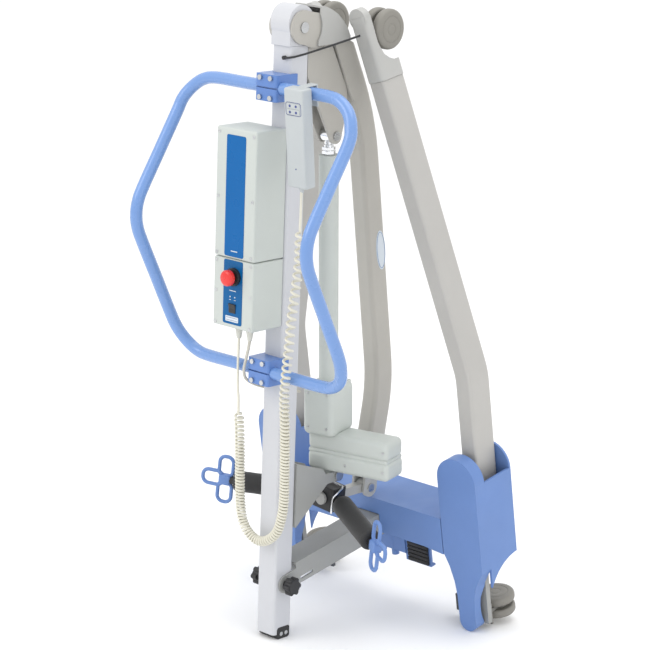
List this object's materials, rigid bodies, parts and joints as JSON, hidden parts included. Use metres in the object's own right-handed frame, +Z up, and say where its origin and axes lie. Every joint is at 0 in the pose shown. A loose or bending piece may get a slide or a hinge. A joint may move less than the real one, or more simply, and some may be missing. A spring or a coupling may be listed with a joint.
{
  "type": "patient lift hoist",
  "caption": "Folding electric patient lift stood on end: square mast, boom with spreader and sling hooks, actuator, control box with handset, splayed castor legs.",
  "frame": {"origin": "on the floor, on the mast's axis", "axes": "+Z up along the mast; -Y is the carer's side with the push handle and control box; +Y is the side of the folded base; +X is the hoist's right"},
  "size_m": [0.61, 0.6542, 1.29],
  "materials": {
    "frame_paint": "satin powder coat",
    "grey_paint": "satin powder coat",
    "blue_paint": "semi-gloss powder coat",
    "blue_plastic": "fine-grained moulding",
    "white_plastic": "fine-grained moulding",
    "panel_blue": "printed film",
    "black_plastic": "moulded",
    "black_rubber": "moulded",
    "castor_plastic": "moulded",
    "castor_tread": "polyurethane tread",
    "chrome": "polished",
    "steel": "zinc plated",
    "red_plastic": "gloss",
    "rocker_plastic": "gloss",
    "cord_cream": "soft PVC",
    "brake_grey": "moulded"
  },
  "bodies": {
    "base": {"base_frame": "grey_paint", "base_cover": "blue_plastic", "housing_right": "blue_plastic", "housing_left": "blue_plastic", "link_channel": "grey_paint", "leg_bolts": "steel"},
    "mast": {"mast_tube": "frame_paint", "mast_head": "frame_paint", "foot_blocks": "black_rubber", "gusset": "grey_paint", "mast_pins": "steel", "push_handle": "blue_paint", "handle_clamps": "blue_paint", "mast_screws": "steel", "control_case": "white_plastic", "control_panel": "panel_blue", "estop_collar": "black_plastic", "cable_plugs": "white_plastic", "actuator_lead": "cord_cream", "handset_cord": "cord_cream", "elastic_cord": "black_rubber", "cord_knobs": "black_plastic"},
    "boom": {"boom_tube": "grey_paint", "boom_root": "grey_paint", "root_cover": "frame_paint", "boom_pins": "steel", "boom_tip": "frame_paint"},
    "actuator": {"motor_case": "white_plastic", "actuator_tube": "white_plastic"},
    "push_rod": {"actuator_rod": "chrome", "rod_end": "chrome"},
    "hanger": {"spreader_hanger": "frame_paint"},
    "spreader": {"spreader_frame": "black_plastic", "spreader_pads": "black_rubber", "spreader_bail": "chrome", "sling_hooks": "blue_plastic"},
    "leg_r": {"leg_right": "frame_paint", "leg_cap_right": "frame_paint"},
    "leg_l": {"leg_left": "frame_paint", "leg_cap_left": "frame_paint"},
    "pedals": {"pedal_rocker": "blue_plastic", "pedal_treads": "black_rubber"},
    "swivel_front_r": {"fork_front_right": "castor_plastic"},
    "swivel_front_l": {"fork_front_left": "castor_plastic"},
    "swivel_rear_r": {"fork_rear_right": "castor_plastic"},
    "swivel_rear_l": {"fork_rear_left": "castor_plastic"},
    "wheels_front_r": {"wheels_front_right": "castor_tread"},
    "wheels_front_l": {"wheels_front_left": "castor_tread"},
    "wheels_rear_r": {"wheels_rear_right": "castor_tread"},
    "wheels_rear_l": {"wheels_rear_left": "castor_tread"},
    "brake_r": {"brake_right": "brake_grey"},
    "brake_l": {"brake_left": "brake_grey"},
    "knob_r": {"star_knob_right": "black_plastic"},
    "knob_l": {"star_knob_left": "black_plastic"},
    "estop": {"estop_button": "red_plastic"},
    "switch": {"power_switch": "black_plastic"},
    "battery": {"battery_case": "white_plastic", "battery_panel": "panel_blue"},
    "handset": {"handset_case": "white_plastic"},
    "rocker": {"handset_rocker": "rocker_plastic"}
  },
  "joints": [
    {"name": "mast_fold", "type": "hinge", "parent": "base", "child": "mast", "pos_m": [0, 0.003, 0.117], "axis": [1, 0, 0], "range_deg": [0, 101]},
    {"name": "boom_lift", "type": "hinge", "parent": "mast", "child": "boom", "pos_m": [0, 0.003, 1.247], "axis": [1, 0, 0], "range_deg": [0, 9]},
    {"name": "actuator_tilt", "type": "hinge", "parent": "mast", "child": "actuator", "pos_m": [0, 0.15, 0.318], "axis": [1, 0, 0], "range_deg": [-2.8, 0]},
    {"name": "actuator_extend", "type": "slide", "parent": "actuator", "child": "push_rod", "axis": [0, -0.0482, 0.9988], "range_m": [0, 0.0198]},
    {"name": "spreader_tilt", "type": "hinge", "parent": "boom", "child": "hanger", "pos_m": [0, 0.262, 0.266], "axis": [1, 0, 0], "range_deg": [0, 25]},
    {"name": "spreader_swivel", "type": "hinge", "parent": "hanger", "child": "spreader", "pos_m": [0, 0.157, 0.266], "axis": [0, 1, 0], "range_deg": [-15, 15]},
    {"name": "leg_spread_right", "type": "hinge", "parent": "base", "child": "leg_r", "pos_m": [0.255, 0.328, 0.35], "axis": [0, 0.9816, 0.1908], "range_deg": [0, 20]},
    {"name": "leg_spread_left", "type": "hinge", "parent": "base", "child": "leg_l", "pos_m": [-0.255, 0.328, 0.35], "axis": [0, 0.9816, 0.1908], "range_deg": [-20, 0]},
    {"name": "pedal_rock", "type": "hinge", "parent": "base", "child": "pedals", "pos_m": [0, 0.37308, 0.09186], "axis": [0, -0.1908, 0.9816], "range_deg": [0, 10]},
    {"name": "castor_swivel_front_right", "type": "hinge", "parent": "leg_r", "child": "swivel_front_r", "pos_m": [0.073, 0.15818, 1.22365], "axis": [0, 0.9816, 0.1908], "continuous": true},
    {"name": "castor_roll_front_right", "type": "hinge", "parent": "swivel_front_r", "child": "wheels_front_r", "pos_m": [0.073, 0.18278, 1.23862], "axis": [1, 0, 0], "continuous": true},
    {"name": "castor_swivel_rear_right", "type": "hinge", "parent": "base", "child": "swivel_rear_r", "pos_m": [0.262, 0.38906, 0.03588], "axis": [0, 0.9816, 0.1908], "continuous": true},
    {"name": "castor_roll_rear_right", "type": "hinge", "parent": "swivel_rear_r", "child": "wheels_rear_r", "pos_m": [0.247, 0.41458, 0.04084], "axis": [0, -0.1908, 0.9816], "continuous": true},
    {"name": "brake_lever_right", "type": "hinge", "parent": "swivel_rear_r", "child": "brake_r", "pos_m": [0.228, 0.37237, 0.03264], "axis": [0, -0.1908, 0.9816], "range_deg": [-12, 0]},
    {"name": "star_knob_turn_right", "type": "hinge", "parent": "mast", "child": "knob_r", "pos_m": [0.045, 0.003, 0.117], "axis": [1, 0, 0], "continuous": true},
    {"name": "castor_swivel_front_left", "type": "hinge", "parent": "leg_l", "child": "swivel_front_l", "pos_m": [-0.073, 0.15818, 1.22365], "axis": [0, 0.9816, 0.1908], "continuous": true},
    {"name": "castor_roll_front_left", "type": "hinge", "parent": "swivel_front_l", "child": "wheels_front_l", "pos_m": [-0.073, 0.18278, 1.23862], "axis": [1, 0, 0], "continuous": true},
    {"name": "castor_swivel_rear_left", "type": "hinge", "parent": "base", "child": "swivel_rear_l", "pos_m": [-0.262, 0.38906, 0.03588], "axis": [0, 0.9816, 0.1908], "continuous": true},
    {"name": "castor_roll_rear_left", "type": "hinge", "parent": "swivel_rear_l", "child": "wheels_rear_l", "pos_m": [-0.247, 0.41458, 0.04084], "axis": [0, -0.1908, 0.9816], "continuous": true},
    {"name": "brake_lever_left", "type": "hinge", "parent": "swivel_rear_l", "child": "brake_l", "pos_m": [-0.228, 0.37237, 0.03264], "axis": [0, -0.1908, 0.9816], "range_deg": [0, 12]},
    {"name": "star_knob_turn_left", "type": "hinge", "parent": "mast", "child": "knob_l", "pos_m": [-0.045, 0.003, 0.117], "axis": [1, 0, 0], "continuous": true},
    {"name": "estop_press", "type": "slide", "parent": "mast", "child": "estop", "axis": [0, 1, 0], "range_m": [0, 0.004], "stiffness_N_per_m": 800},
    {"name": "power_switch_rock", "type": "hinge", "parent": "mast", "child": "switch", "pos_m": [-0.032, -0.107, 0.698], "axis": [1, 0, 0], "range_deg": [-6, 6]},
    {"name": "battery_lift_off", "type": "slide", "parent": "mast", "child": "battery", "axis": [0, 0, 1], "range_m": [0, 0.045]},
    {"name": "handset_lift_off", "type": "slide", "parent": "mast", "child": "handset", "axis": [0, 0, 1], "range_m": [0, 0.012]},
    {"name": "handset_rocker_rock", "type": "hinge", "parent": "handset", "child": "rocker", "pos_m": [0.097, -0.0885, 1.106], "axis": [1, 0, 0], "range_deg": [-3, 3], "stiffness_Nm_per_rad": 0.25}
  ],
  "couplings": [
    {"joint": "actuator_tilt", "follows": "boom_lift", "ratio": -0.302},
    {"joint": "actuator_extend", "follows": "boom_lift", "m_per_rad": 0.1241},
    {"joint": "leg_spread_left", "follows": "leg_spread_right", "ratio": -1},
    {"joint": "pedal_rock", "follows": "leg_spread_right", "ratio": 0.5}
  ]
}
